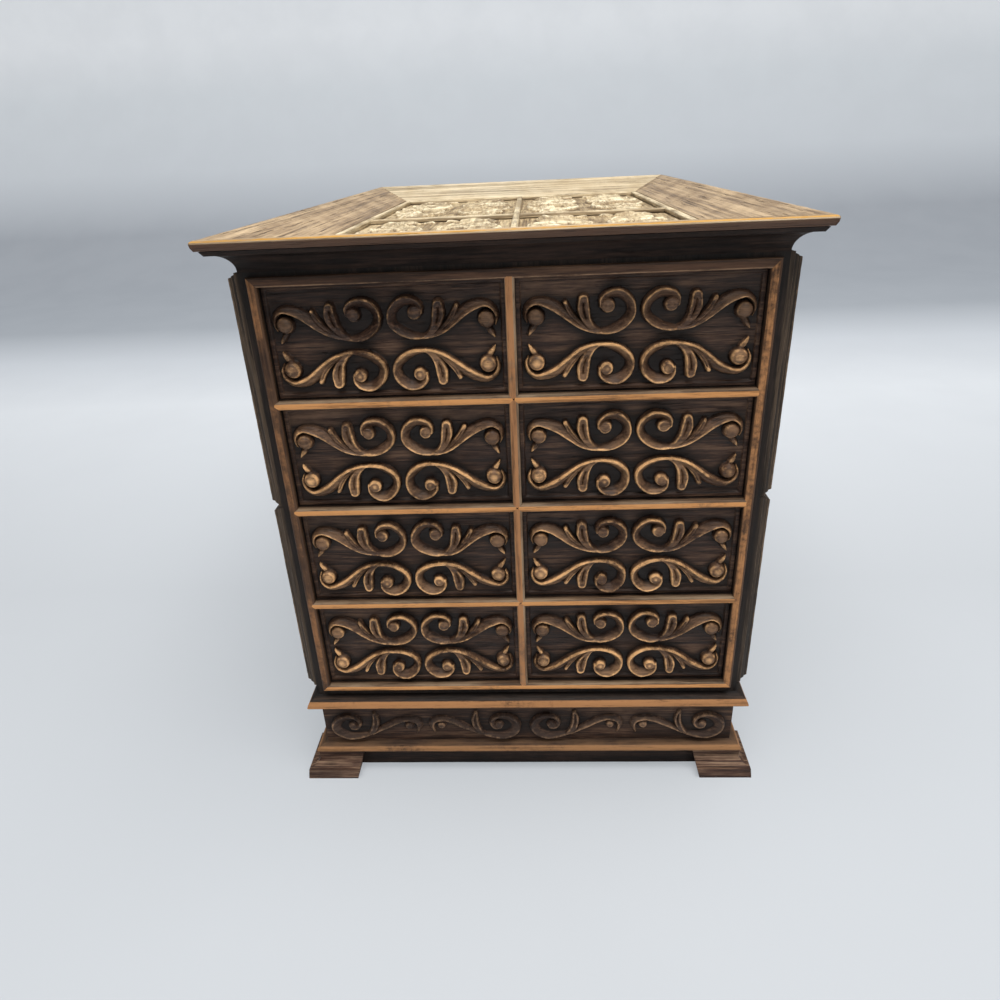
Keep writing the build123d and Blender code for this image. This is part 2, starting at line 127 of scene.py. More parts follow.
def curve_through(points):
    """Catmull-Rom samples through rows of (x, y, half width)."""
    rows = np.asarray(points, float)
    ends = np.vstack([2 * rows[0] - rows[1], rows, 2 * rows[-1] - rows[-2]])
    samples = []
    for k in range(1, len(ends) - 2):
        p0, p1, p2, p3 = ends[k - 1:k + 3]
        for t in np.arange(CURVE_STEPS) / CURVE_STEPS:
            samples.append(0.5 * (2 * p1 + (p2 - p0) * t + (2 * p0 - 5 * p1 + 4 * p2 - p3) * t * t
                                  + (3 * p1 - p0 - 3 * p2 + p3) * t ** 3))
    return np.array(samples + [rows[-1]])


# Carved scroll: one quarter of the design, x out from a cell's upright axis and y from its level axis.
# A band's rows are (x, y, half width); a boss is (x, y, radius).
VOLUTE = [(16.6, 3.3, 0.5), (13.3, 2.9, 1.2), (9.6, 3.6, 1.7), (6.2, 5.3, 1.95), (3.5, 7.8, 1.95), (2.7, 10.7, 1.95),
          (3.9, 14.0, 2.05), (7.4, 16.6, 2.2), (11.3, 16.4, 2.1), (13.7, 14.6, 1.8), (14.2, 12.4, 1.4)]
STEM = [(11.5, 2.2, 0.6), (17.0, 3.0, 1.05), (22.0, 5.0, 1.5), (26.5, 8.2, 1.75), (31.0, 12.0, 2.15),
        (35.5, 14.2, 2.0), (39.6, 14.7, 1.5), (42.6, 12.7, 1.25), (43.6, 9.5, 0.95), (42.8, 6.6, 0.4)]
BROAD_LEAF = [(14.4, 2.9, 0.8), (17.4, 4.2, 1.5), (19.8, 7.2, 2.1), (21.1, 11.2, 2.7), (21.2, 14.9, 2.3)]
NARROW_LEAF = [(19.5, 4.3, 0.6), (23.0, 6.6, 1.1), (26.3, 10.2, 1.35), (28.3, 14.0, 1.2)]
BUD = [(39.8, 5.8, 1.2), (40.8, 4.3, 1.3), (41.8, 2.9, 0.95), (42.5, 1.8, 0.4)]
VOLUTE_EYE = (12.0, 12.2, 2.9)
TAIL_EYE = (39.5, 8.9, 3.6)
# The frieze's quarter: x out from the row's middle and y up from its foot
FRIEZE_VOLUTE = [(20.7, 4.6, 0.9), (15.4, 3.9, 1.7), (10.4, 4.1, 2.2), (6.0, 6.9, 2.5), (4.7, 10.6, 2.6),
                 (7.0, 14.3, 2.5), (11.2, 16.0, 2.1), (15.2, 14.9, 1.7), (16.7, 11.9, 1.5), (15.3, 9.5, 1.5),
                 (13.0, 9.6, 1.5)]
FRIEZE_STEM = [(23.2, 5.0, 0.6), (27.4, 8.2, 1.2), (31.7, 10.8, 1.5), (36.7, 13.8, 1.6), (41.7, 15.0, 1.4),
               (46.3, 14.0, 1.7), (47.7, 10.6, 1.5), (46.3, 5.6, 0.4)]
FRIEZE_LEAF = [(18.2, 2.9, 0.6), (22.2, 5.6, 1.4), (24.6, 9.4, 1.9), (25.5, 14.0, 2.0), (24.9, 18.6, 1.2)]
FRIEZE_VOLUTE_EYE = (13.2, 10.8, 2.3)
FRIEZE_TAIL_EYE = (42.7, 10.9, 2.3)


def along_curve(points, x, y):
    """For each place: how far along the band it is (0 to 1), its place across the band (-1 to 1 from edge to
    edge) and how far it is inside the nearer edge."""
    path = curve_through(points)
    best = np.full(x.shape, 1e9)
    part, side, half = np.zeros(x.shape), np.zeros(x.shape), np.zeros(x.shape)
    for k in range(len(path) - 1):
        (ax, ay, aw), (bx, by, bw) = path[k], path[k + 1]
        dx, dy = bx - ax, by - ay
        length2 = dx * dx + dy * dy
        t = np.clip(((x - ax) * dx + (y - ay) * dy) / length2, 0.0, 1.0)
        ex, ey = x - ax - t * dx, y - ay - t * dy
        distance = np.hypot(ex, ey)
        nearer = distance < best
        best = np.where(nearer, distance, best)
        part = np.where(nearer, (k + t) / (len(path) - 1), part)
        side = np.where(nearer, np.sign(dx * ey - dy * ex) * distance, side)
        half = np.where(nearer, aw + (bw - aw) * t, half)
    return part, side / np.maximum(half, LEAST_HALF), half - np.abs(side)


def wall(inside, edge):
    """A carved side: steep at its foot and rounded over at its top."""
    t = np.clip(inside / edge, 0.0, 1.0)
    return 1.0 - (1.0 - t) ** 2.2


def banked(points, x, y, height, inner, edge, crest_side=-1, groove=0.0):
    """A band whose crest follows one edge and whose face is hollowed down to the other edge."""
    part, across, inside = along_curve(points, x, y)
    across = 0.5 + 0.5 * crest_side * np.clip(across, -1.0, 1.0)
    face = inner + (1.0 - inner) * (1.0 - (1.0 - np.clip(across / 0.85, 0.0, 1.0)) ** 1.3)
    cut = groove * np.exp(-((across - 0.5) / 0.1) ** 2)
    cut = cut * smooth_step(0.1, 0.25, part) * (1.0 - smooth_step(0.55, 0.75, part))
    sink = 1.0 - 0.15 * smooth_step(0.6, 1.0, part) - cut
    foot = np.where(across > 0.5, wall(inside, edge), wall(inside, 0.35))
    return height * face * sink * foot


def fluted(points, x, y, height, grooves, depth, edge):
    """A rounded band with grooves cut along most of it, at the given places across."""
    part, across, inside = along_curve(points, x, y)
    crown = 0.7 + 0.3 * (1.0 - np.clip(across, -1.0, 1.0) ** 2)
    cut = sum(np.exp(-((across - g) / 0.2) ** 2) for g in grooves) * depth
    cut = cut * smooth_step(0.08, 0.2, part) * (1.0 - smooth_step(0.85, 0.95, part))
    rise = 0.8 + 0.2 * smooth_step(0.0, 0.3, part)
    return np.maximum(height * crown * rise - cut, 0.0) * wall(inside, edge)


def leaf(points, x, y, height, slit, edge):
    """A tongue of two rims: its face dips between them, and a slit is cut through its middle."""
    part, across, inside = along_curve(points, x, y)
    across = np.clip(across, -1.0, 1.0)
    dip = 1.0 - 0.2 * smooth_step(0.25, 0.6, part) * (1.0 - smooth_step(0.1, 0.75, np.abs(across)))
    cut = slit * np.exp(-(across / 0.1) ** 2) * smooth_step(0.42, 0.6, part) * (1.0 - smooth_step(0.88, 0.97, part))
    rise = 0.72 + 0.28 * smooth_step(0.0, 0.5, part)
    return np.maximum(height * dip * rise - cut * height, 0.0) * wall(inside, edge)


def button(place, x, y, height, edge):
    """A round boss with a nearly flat top and rounded sides."""
    cx, cy, radius = place
    distance = np.hypot(x - cx, y - cy)
    dome = 1.0 - 0.14 * smooth_step(0.0, 0.6, distance / radius)
    return height * dome * wall(radius - distance, edge)


def ball(place, x, y, height, edge):
    """A round boss like half a ball."""
    cx, cy, radius = place
    distance = np.hypot(x - cx, y - cy)
    dome = np.sqrt(np.clip(1.0 - (distance / radius) ** 2, 0.0, 1.0))
    return height * (0.35 + 0.65 * dome) * wall(radius - distance, edge)


def quarter_height(x, y, height):
    """Height of one quarter of the scroll, 0 on the ground and about 1 x height on its crests."""
    edge = 0.85
    shapes = [
        leaf(BROAD_LEAF, x, y, 0.8 * height, 0.3, edge),
        fluted(NARROW_LEAF, x, y, 0.74 * height, (0.15,), 0.16 * height, 0.7),
        banked(STEM, x, y, 0.92 * height, 0.35, edge, groove=0.16),
        fluted(BUD, x, y, 0.6 * height, (), 0.0, 0.6),
        banked(VOLUTE, x, y, 0.97 * height, 0.14, edge, 1),
        button(VOLUTE_EYE, x, y, 0.93 * height, 0.9),
        ball(TAIL_EYE, x, y, 0.97 * height, 0.8),
    ]
    return np.maximum.reduce(shapes)


def frieze_quarter_height(x, y, height):
    """Height of one quarter of the frieze."""
    shapes = [
        leaf(FRIEZE_LEAF, x, y, 0.8 * height, 0.5, 0.8),
        banked(FRIEZE_STEM, x, y, 0.92 * height, 0.35, 0.8),
        banked(FRIEZE_VOLUTE, x, y, 0.97 * height, 0.14, 0.8, 1),
        button(FRIEZE_VOLUTE_EYE, x, y, 0.85 * height, 0.9),
        ball(FRIEZE_TAIL_EYE, x, y, 0.9 * height, 0.7),
    ]
    return np.maximum.reduce(shapes)


def scroll_height(x, y, height, seed):
    """The whole scroll round (0, 0): four mirrored quarters, each cut a little differently by hand."""
    total = np.zeros(x.shape)
    for k, (sx, sy) in enumerate([(-1, -1), (1, -1), (-1, 1), (1, 1)]):
        here = (np.sign(x + 1e-9) == sx) & (np.sign(y + 1e-9) == sy)
        a, b = np.abs(x[here]), np.abs(y[here])
        warp_a = STRAY * wobble(a, b, seed * 11 + k, 9.0)
        warp_b = STRAY * wobble(a, b, seed * 17 + k + 5, 9.0)
        lift = 1.0 + 0.05 * wobble(a, b, seed * 23 + k, 12.0)
        total[here] = quarter_height(a + warp_a, b + warp_b, height) * lift
    return total


# Mesh builders
def new_object(name, points, faces, body, slot_name, material, sharp_angle, **layers):
    """A mesh from millimetre points that rides on a CAD body; each layer is a value for every point."""
    mesh = bpy.data.meshes.new(name)
    mesh.from_pydata((np.asarray(points, float) * MM).tolist(), [], faces)
    for layer, values in layers.items():
        data = mesh.attributes.new(layer, "FLOAT", "POINT")
        data.data.foreach_set("value", np.asarray(values, np.float32))
    mesh.polygons.foreach_set("use_smooth", [True] * len(mesh.polygons))
    mesh.set_sharp_from_angle(angle=math.radians(sharp_angle))
    mesh.materials.append(material)
    mesh.validate()
    piece = bpy.data.objects.new(name, mesh)
    bpy.context.scene.collection.objects.link(piece)
    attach(piece, body)
    return piece


def relief_slab(name, size, cell, height_of, place, back, body, slot_name, material):
    """A board whose face is carved, closed by its edges and its back, which lies at height -back.

    height_of(u, v) gives the height over a grid and how much of it is carving, for the finish; place(u, v, height)
    gives the points."""
    nu, nv = (int(round(s / cell)) + 1 for s in size)
    u, v = np.meshgrid(np.linspace(-size[0] / 2, size[0] / 2, nu), np.linspace(-size[1] / 2, size[1] / 2, nv))
    height, carving = height_of(u, v)
    crest = (height - blurred(height, CREST_REACH / cell)) * np.clip(carving / np.maximum(height, 0.05), 0.0, 1.0)
    wide = height - blurred(height, HOLLOW_REACH / cell)
    face = place(u, v, height).reshape(-1, 3)
    grid = np.arange(nu * nv).reshape(nv, nu)
    quads = np.stack([grid[:-1, :-1], grid[:-1, 1:], grid[1:, 1:], grid[1:, :-1]], -1).reshape(-1, 4)
    ring = np.concatenate([grid[0, :-1], grid[:-1, -1], grid[-1, :0:-1], grid[:0:-1, 0]])
    rim = place(u.ravel()[ring], v.ravel()[ring], np.full(len(ring), -back))
    rim_ids = nu * nv + np.arange(len(ring))
    sides = np.stack([ring, rim_ids, np.roll(rim_ids, -1), np.roll(ring, -1)], -1)
    faces = quads.tolist() + sides.tolist() + [rim_ids[::-1].tolist()]
    pad = np.zeros(len(ring))
    return new_object(
        name, np.vstack([face, rim]), faces, body, slot_name, material, SLAB_SHARP,
        level=np.concatenate([carving.ravel(), pad]),
        crest=np.concatenate([crest.ravel(), pad]),
        wide=np.concatenate([wide.ravel(), pad]),
    )


def fine_outline(outline, step):
    """An outline of (out, up, level, crest) rows with points added on its long edges; a level below 0 is darkened:
    painted shade on a strip's low, shaded sides, and the top rail's dark fascia.
    """
    rows = []
    for first, second in zip(outline, outline[1:] + outline[:1]):
        first, second = np.array(first, float), np.array(second, float)
        count = max(1, int(math.ceil(np.hypot(*(second - first)[:2]) / step)))
        rows += [first + (second - first) * k / count for k in range(count)]
    return np.array(rows)


def strip(name, outline, start, end, out, up, mitre, slot_name, material, seed, uneven=DENT_DEPTH,
          step=OUTLINE_STEP):
    """A dented moulding of the case, swept from start to end. mitre(out, up) is how far each end runs on past
    its point."""
    rows = fine_outline(outline, step)
    start, end, out, up = (np.array(v, float) for v in (start, end, out, up))
    length = np.linalg.norm(end - start)
    direction = (end - start) / length
    rings = max(2, int(length / RING_SPACING))
    part = np.linspace(0.0, 1.0, rings)[:, None]
    o, z = rows[None, :, 0], rows[None, :, 1]
    before, after = np.roll(rows, 1, 0)[:, :2], np.roll(rows, -1, 0)[:, :2]
    tangent = after - before
    normal = np.stack([tangent[:, 1], -tangent[:, 0]], -1)
    normal /= np.maximum(np.linalg.norm(normal, axis=1, keepdims=True), 1e-9)
    turn = np.sum(before[:, 0] * after[:, 1] - after[:, 0] * before[:, 1])
    normal *= 1.0 if turn > 0 else -1.0
    run = part * length + (2.0 * part - 1.0) * mitre(o, z)
    girth = np.cumsum(np.linalg.norm(tangent, axis=1))[None, :] / 2
    dents = wobble(run, girth, seed, 5.0) * 0.6 + wobble(run, girth, seed + 1, 1.8) * 0.4
    dent = uneven * (0.5 + 0.5 * np.clip(dents, -1.0, 1.0))
    oo, zz = o - normal[None, :, 0] * dent, z - normal[None, :, 1] * dent
    points = start + run[..., None] * direction + oo[..., None] * out + zz[..., None] * up
    n = len(rows)
    grid = np.arange(rings * n).reshape(rings, n)
    nxt = np.roll(grid, -1, 1)
    quads = np.stack([grid[:-1], grid[1:], nxt[1:], nxt[:-1]], -1).reshape(-1, 4).tolist()
    caps = [grid[0].tolist(), grid[-1][::-1].tolist()]
    if (np.dot(np.cross(out, up), direction) > 0) == (turn > 0):
        quads = [q[::-1] for q in quads]
        caps = [c[::-1] for c in caps]
    spread = np.ones((rings, 1))
    return new_object(name, points.reshape(-1, 3), quads + caps, "case", slot_name, material, STRIP_SHARP,
                      level=(spread * rows[None, :, 2]).ravel(), crest=(spread * rows[None, :, 3]).ravel(),
                      wide=(spread * np.minimum(rows[None, :, 2], 0.0)).ravel() * 3.0)


# Materials
def link(tree, source, target):
    tree.links.new(source, target)


def node(tree, kind, inputs=(), **settings):
    made = tree.nodes.new(kind)
    for key, value in settings.items():
        setattr(made, key, value)
    for key, value in dict(inputs).items():
        if isinstance(value, bpy.types.NodeSocket):
            link(tree, value, made.inputs[key])
        else:
            made.inputs[key].default_value = value
    return made


def ramp(tree, source, stops):
    made = node(tree, "ShaderNodeValToRGB", {"Fac": source})
    elements = made.color_ramp.elements
    while len(elements) < len(stops):
        elements.new(0.5)
    for element, (position, shade) in zip(elements, stops):
        element.position = position
        element.color = (*shade, 1.0)
    return made.outputs["Color"]


def mixed(tree, factor, first, second):
    """first where factor is 0 and second where it is 1; each is a socket or a colour."""
    inputs = {key: value if isinstance(value, bpy.types.NodeSocket) else (*value, 1.0)
              for key, value in ((6, first), (7, second))}
    return node(tree, "ShaderNodeMix", {0: factor, **inputs}, data_type="RGBA").outputs[2]


def maths(tree, operation, first, second):
    return node(tree, "ShaderNodeMath", {0: first, 1: second}, operation=operation).outputs[0]


def weighted(tree, *terms):
    """The sum of some sockets, each times its share."""
    total, *others = (maths(tree, "MULTIPLY", source, share) for source, share in terms)
    for other in others:
        total = maths(tree, "ADD", total, other)
    return total


def ranged(tree, value, low, high, to_low=0.0, to_high=1.0):
    made = node(tree, "ShaderNodeMapRange",
                {"Value": value, "From Min": low, "From Max": high, "To Min": to_low, "To Max": to_high})
    made.interpolation_type = "SMOOTHSTEP"
    return made.outputs["Result"]


def noise(tree, vector, scale, detail=4.0, roughness=0.55, distortion=0.0):
    made = node(tree, "ShaderNodeTexNoise", {"Vector": vector, "Scale": scale, "Detail": detail,
                                             "Roughness": roughness, "Distortion": distortion})
    return made.outputs["Fac"]


def stretched(tree, along_axis, stretch):
    """Object coordinates squeezed along the grain, so that noise runs in streaks."""
    coords = node(tree, "ShaderNodeTexCoord").outputs["Object"]
    scale = [1.0, 1.0, 1.0]
    scale["XYZ".index(along_axis)] = stretch
    return node(tree, "ShaderNodeMapping", {"Vector": coords, "Scale": scale}).outputs["Vector"]


def wood(name, grain, palette, wear_and_shade=None, roughness=(0.42, 0.68), bump=0.4, stretch=0.05, coarse=260.0,
         cracks=0.5, shine=0.18, blotches=0.5, streaky=0.4):
    """Antiqued wood. grain is the axis the streaks run along, palette its dark, middle and light colours.

    The wear-and-shade table, made by the function below, says how the finish changes with the mesh's layers:
    level (how far it stands out), crest (sharp edges, where the stain is rubbed through) and wide (hollows, darkened
    with painted shade and some dirt)."""
    material = bpy.data.materials.new(name)
    material.use_nodes = True
    tree = material.node_tree
    shader = tree.nodes["Principled BSDF"]
    vector = stretched(tree, grain, stretch)
    place = node(tree, "ShaderNodeTexCoord").outputs["Object"]
    broad = noise(tree, vector, coarse * 0.35, 5.0, 0.6, 0.3)
    fine = noise(tree, vector, coarse * 2.2, 6.0, 0.7)
    pores = noise(tree, vector, coarse * 5.0, 3.0, 0.8)
    blotch = noise(tree, place, 30.0, 4.0, 0.65)
    speck = noise(tree, place, 420.0, 4.0, 0.7)
    grainy = weighted(tree, (broad, 0.3), (fine, 0.4), (pores, 0.3))
    base = ramp(tree, grainy, [(0.42, palette[0]), (0.5, palette[1]), (0.59, palette[2])])
    base = mixed(tree, ranged(tree, blotch, 0.4, 0.68, 0.0, blotches), base, palette[0])
    if wear_and_shade:
        level, crest, wide = (node(tree, "ShaderNodeAttribute", attribute_name=key).outputs["Fac"]
                              for key in ("level", "crest", "wide"))
        # Raised parts take the lighter body colour while low parts keep the dark grain, so a carved face darkens down
        # its slope: painted shade.
        raised = ranged(tree, level, 0.1 * wear_and_shade["top"], 0.8 * wear_and_shade["top"])
        body = mixed(tree, ranged(tree, weighted(tree, (fine, 0.35), (blotch, 0.65)), 0.38, 0.62), *wear_and_shade["body"])
        base = mixed(tree, maths(tree, "MULTIPLY", raised, wear_and_shade["strength"]), base, body)
        rough_crest = maths(tree, "MULTIPLY", maths(tree, "SUBTRACT", speck, 0.5), wear_and_shade["ragged"])
        worn_here = ranged(tree, maths(tree, "ADD", crest, rough_crest), *wear_and_shade["edge"])
        patchy = ranged(tree, weighted(tree, (blotch, 0.6), (speck, 0.4)), wear_and_shade["patch"], wear_and_shade["patch"] + 0.22)
        crown = ranged(tree, level, 0.84 * wear_and_shade["top"], 0.97 * wear_and_shade["top"], 0.0, wear_and_shade["crown"])
        rub_and_shade = maths(tree, "MULTIPLY", maths(tree, "MAXIMUM", worn_here, crown), patchy)
        base = mixed(tree, maths(tree, "MULTIPLY", rub_and_shade, wear_and_shade["rub"]), base, wear_and_shade["worn"])
        # Hollows and levels below 0 darken towards this colour: painted shade, with some dirt.
        base = mixed(tree, ranged(tree, wide, *wear_and_shade["hollow"], 0.0, 0.92), base, wear_and_shade["shade_and_dirt"])
    lines = ranged(tree, weighted(tree, (fine, 0.6), (broad, 0.4)), 0.52, 0.4, 0.0, streaky)
    base = mixed(tree, lines, base, tuple(0.4 * t for t in palette[1]))
    cracked = ranged(tree, pores, 0.42, 0.3, 0.0, cracks)
    base = mixed(tree, cracked, base, tuple(0.3 * t for t in palette[0]))
    link(tree, base, shader.inputs["Base Color"])
    link(tree, ranged(tree, fine, 0.3, 0.7, *roughness), shader.inputs["Roughness"])
    height = maths(tree, "SUBTRACT", grainy, maths(tree, "MULTIPLY", cracked, 0.5))
    bumped = node(tree, "ShaderNodeBump", {"Height": height, "Strength": bump, "Distance": 0.0009})
    link(tree, bumped.outputs["Normal"], shader.inputs["Normal"])
    shader.inputs["Specular IOR Level"].default_value = shine
    return material


def colour(red, green, blue):
    """A display colour, 0 to 255, as the linear value that a shader needs."""
    return tuple((c / 255.0 / 12.92) if c <= 10 else ((c / 255.0 + 0.055) / 1.055) ** 2.4 for c in (red, green, blue))


def tones(*triples):
    return [colour(*triple) for triple in triples]


def wear_and_shade_of(worn, top, strength, rub, body, shade_and_dirt=(14, 9, 7), edge=(0.1, 0.7), ragged=0.3, patch=0.42,
            hollow=(-0.5, -1.6), crown=0.0):
    """How a finish wears, and where shade is painted on it: top is the level of the highest parts, worn the bare
    colour, body the raised parts', and the darker colour that hollows and levels below 0 take is painted shade with
    some dirt.
    """
    return {"worn": colour(*worn), "top": top, "edge": edge, "strength": strength, "rub": rub, "body": tones(*body),
            "shade_and_dirt": colour(*shade_and_dirt), "ragged": ragged, "patch": patch, "hollow": hollow, "crown": crown}


STRIP_TOP = 0.8  # The level of a strip's highest parts
DARK = tones((22, 13, 9), (60, 41, 31), (100, 76, 59))
carved_wood = wood("carved_wood", "X", DARK,
                   wear_and_shade_of((226, 176, 122), FRONT_RELIEF, 1.0, 0.95, ((68, 47, 34), (138, 105, 76)),
                           edge=(0.28, 0.95), patch=0.36, hollow=(-0.4, -1.3), crown=0.85, ragged=0.8),
                   roughness=(0.34, 0.6), bump=0.6, shine=0.25)
frieze_wood = wood("frieze_wood", "X", DARK,
                   wear_and_shade_of((164, 128, 96), FRIEZE_RELIEF, 0.9, 0.8, ((44, 33, 28), (78, 62, 52)),
                           edge=(0.15, 0.55), hollow=(-0.15, -0.8)))
BEAD_BODY = ((112, 90, 70), (172, 148, 120))
bead_wood_x, bead_wood_z, shaded_top_strip_wood, outer_left_z, outer_right_z = (
    wood(name, grain, tones((30, 20, 14), (62, 45, 33), (98, 75, 56)),
         wear_and_shade_of(worn, STRIP_TOP, 0.75, rub, body, edge=(0.4, 0.85), patch=patch), cracks=0.6, streaky=0.6)
    for name, grain, worn, rub, body, patch in (
        ("bead_wood_x", "X", (202, 142, 86), 0.92, BEAD_BODY, 0.22),
        ("bead_wood_z", "Z", (164, 114, 74), 0.9, BEAD_BODY, 0.28),
        # The top strip's darker, less golden colours are painted shade under the cornice.
        ("shaded_top_strip_wood", "X", (146, 118, 92), 0.9, ((62, 42, 32), (104, 74, 56)), 0.34),
        ("outer_left_z", "Z", (146, 102, 66), 0.8, ((58, 40, 30), (100, 72, 51)), 0.46),
        ("outer_right_z", "Z", (178, 126, 80), 0.85, ((66, 46, 34), (114, 82, 58)), 0.36)))
dark_wood_x, dark_wood_y = (
    wood("dark_wood_" + axis.lower(), axis, tones((15, 10, 8), (30, 21, 17), (54, 40, 33)),
         wear_and_shade_of((112, 84, 62), STRIP_TOP, 0.5, 0.7, ((34, 24, 19), (62, 45, 36)), edge=(0.2, 0.9)),
         roughness=(0.45, 0.7), shine=0.14)
    for axis in "XY")
# The cap moulding's near-black tones are partly painted shade under the bead grid, partly dirt.
moulding_wood_x, moulding_wood_y = (
    wood("moulding_wood_" + axis.lower(), axis, tones((18, 12, 9), (34, 25, 19), (58, 44, 35)),
         wear_and_shade_of((166, 118, 76), STRIP_TOP, 0.8, 0.85, ((84, 60, 42), (140, 102, 70)), edge=(0.3, 0.85), patch=0.26),
         cracks=0.6)
    for axis in "XY")
base_wood_x, base_wood_y = (
    wood("base_wood_" + axis.lower(), axis, tones((26, 19, 15), (54, 42, 34), (88, 72, 58)),
         wear_and_shade_of((152, 110, 72), STRIP_TOP, 0.8, 0.85, ((70, 52, 40), (114, 85, 60)), edge=(0.3, 0.9), patch=0.28),
         cracks=0.6)
    for axis in "XY")
# The top's boards are paler than the front, the back board palest: partly dusty, worn wood, partly a painted sheen of
# the light from above.
top_front_wood, top_side_wood, top_back_wood = (
    wood(name, grain, tones((100, 78, 58), (148, 126, 98), (190, 168, 136)),
         wear_and_shade_of(worn, STRIP_TOP, 0.5, rub, body, shade_and_dirt=(64, 37, 24), edge=(0.6, 0.95), patch=0.3,
                 hollow=(-0.4, -2.0)),
         roughness=(0.4, 0.62), stretch=0.012, coarse=300.0, cracks=1.0, shine=0.3, bump=0.9, blotches=0.15)
    for name, grain, worn, rub, body in (
        ("top_front_wood", "X", (176, 128, 42), 0.95, ((128, 106, 82), (184, 162, 130))),
        ("top_side_wood", "Y", (206, 186, 150), 0.8, ((126, 106, 84), (190, 166, 134))),
        ("top_back_wood", "X", (240, 226, 194), 0.8, ((206, 190, 156), (244, 232, 202)))))
# The top beads' pale colours are partly a painted sheen of the light from above.
top_bead_wood_x, top_bead_wood_y = (
    wood("top_bead_wood_" + axis.lower(), axis, tones((84, 66, 48), (150, 132, 104), (200, 182, 150)),
         wear_and_shade_of((226, 212, 182), STRIP_TOP, 0.8, 0.8, ((146, 128, 100), (208, 192, 158)), edge=(0.3, 0.8)),
         cracks=0.7)
    for axis in "XY")
# The carved top's cream is partly a painted sheen of the light from above; its darkened hollows are painted shade.
top_carving = wood("top_carving", "Y", tones((92, 70, 48), (160, 140, 108), (206, 188, 152)),
                   wear_and_shade_of((232, 220, 190), TOP_RELIEF, 0.9, 0.95, ((140, 120, 92), (212, 196, 162)),
                           shade_and_dirt=(52, 34, 22), edge=(0.05, 0.45), patch=0.34, hollow=(-0.2, -0.9)),
                   roughness=(0.45, 0.68), cracks=0.7)
# Near-black, partly as painted shade where the case shows in the gap over the cap moulding, partly dirt.
case_wood = wood("case_wood", "Z", tones((14, 10, 8), (28, 21, 17), (46, 36, 30)), shine=0.2)
side_wood_y, side_wood_z = (
    wood("side_wood_" + axis.lower(), axis, tones((20, 15, 11), (46, 37, 29), (88, 74, 60)),
         wear_and_shade_of((130, 108, 86), STRIP_TOP, 0.5, 0.85, ((50, 40, 32), (88, 73, 60)), edge=(0.35, 0.85)),
         stretch=0.03, cracks=0.7)
    for axis in "YZ")
foot_wood = wood("foot_wood", "X", tones((28, 18, 13), (80, 56, 44), (142, 116, 94)), stretch=0.035, cracks=0.9,
                 bump=0.7)
drawer_wood = wood("drawer_wood", "Y", tones((74, 48, 30), (104, 70, 44), (128, 92, 60)))
felt = wood("felt", "Y", tones((60, 10, 14), (84, 14, 20), (104, 22, 28)), roughness=(0.9, 1.0), stretch=1.0,
            coarse=900.0, cracks=0.0)


# Drawer fronts
def drawer_place(number):
    """The middle of the cell that drawer number fills: (x, z)."""
    row_from_top, column = divmod(number - 1, COLUMNS)
    x = (column - (COLUMNS - 1) / 2) * COLUMN_PITCH
    z = GRID_BOTTOM + BEAD / 2 + ROW_PITCH * (ROWS - 0.5 - row_from_top)
    return x, z


def front_face(number):
    """The carved face of one drawer: a thin ledge round a sunk ground, and the scroll on that."""
    def height_of(u, v):
        edge_u, edge_v = PLATE[0] / 2 - np.abs(u), PLATE[1] / 2 - np.abs(v)
        ledge = LEDGE_PROUD * (1.0 - smooth_step(LEDGE - 0.25, LEDGE + 0.45, np.minimum(edge_u, edge_v)))
        ground = 0.10 * streaks(u, v, 40 + number, 30.0, 1.4) + 0.05 * wobble(u, v, 60 + number, 2.5)
        scroll = scroll_height(u, v + SCROLL_DROP, FRONT_RELIEF, number)
        tool_marks = 0.09 * wobble(u, v, 80 + number, 2.2) + 0.05 * wobble(u, v, 90 + number, 0.9)
        carved = np.where(scroll > CARVED_FROM, scroll + tool_marks, 0.0)
        height = np.clip(np.maximum(np.maximum(carved, ledge), ground * 0.5 + 0.05), 0.0, FRONT_RELIEF)
        # The upper half of each scroll is less raised and rubbed in its finish, most in the top row: painted shade
        # under the cornice.
        rub_and_shade = 1.0 - (0.55 if number <= COLUMNS else 0.3) * smooth_step(-2.5, -0.5, v)
        return height, np.where(carved > ledge, carved * rub_and_shade, 0.0)
    return height_of


for number in range(1, COLUMNS * ROWS + 1):
    cx, cz = drawer_place(number)

    def place(u, v, height, cx=cx, cz=cz):
        return np.stack([cx + u, GROUND_Y - height, cz + v], -1)

    front = relief_slab(f"carved_front_{number}", PLATE, FRONT_CELL, front_face(number), place, PLATE_DEPTH,
                        f"drawer_{number}", "carved_wood", carved_wood)
    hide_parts(f"drawer_front_{number}")


# Beads round the drawers: separate strips with pointed or mitred ends
def bead_outline(level, top=BEAD_FACE / 2):
    """A bead's section, as (out, up, level, crest) rows; level is that of its face, top the height of its top."""
    root, half = BEAD / 2, BEAD_FACE / 2
    # The lower root's levels below 0 paint a shadow under the bead.
    return [(0.0, -root, 0, 0), (0.5, -root, -0.6, 0), (0.8, -half, -0.3, 0), (2.3, -half, 0.4, 0.1),
            (2.8, -half + 0.35, level, 0.85), (3.0, -half + 0.95, level, 1.0), (3.0, top - 1.2, level, 1.0),
            (2.98, top - 0.85, 0.5, 0.35), (2.85, top - 0.3, 0.45, 0.2), (2.5, top - 0.02, 0.4, 0.1),
            (0.8, top, 0.3, 0.0), (0.5, min(root, top), 0, 0), (0.0, min(root, top), 0, 0)]


def rail_outline(level):
    """A bead that a drawer box slides over: its top stays low."""
    return bead_outline(level, RAIL_TOP)


def cornice_shade_outline(level):
    """The top strip: above its lower edge the face is kept darker and less rubbed, as painted shade under the cornice.
    """
    edge = 0.5 - BEAD_FACE / 2
    return [(o, z, 0.5 * c, 0.3 * d) if z > edge else (o, z, c, d) for o, z, c, d in bead_outline(level)]


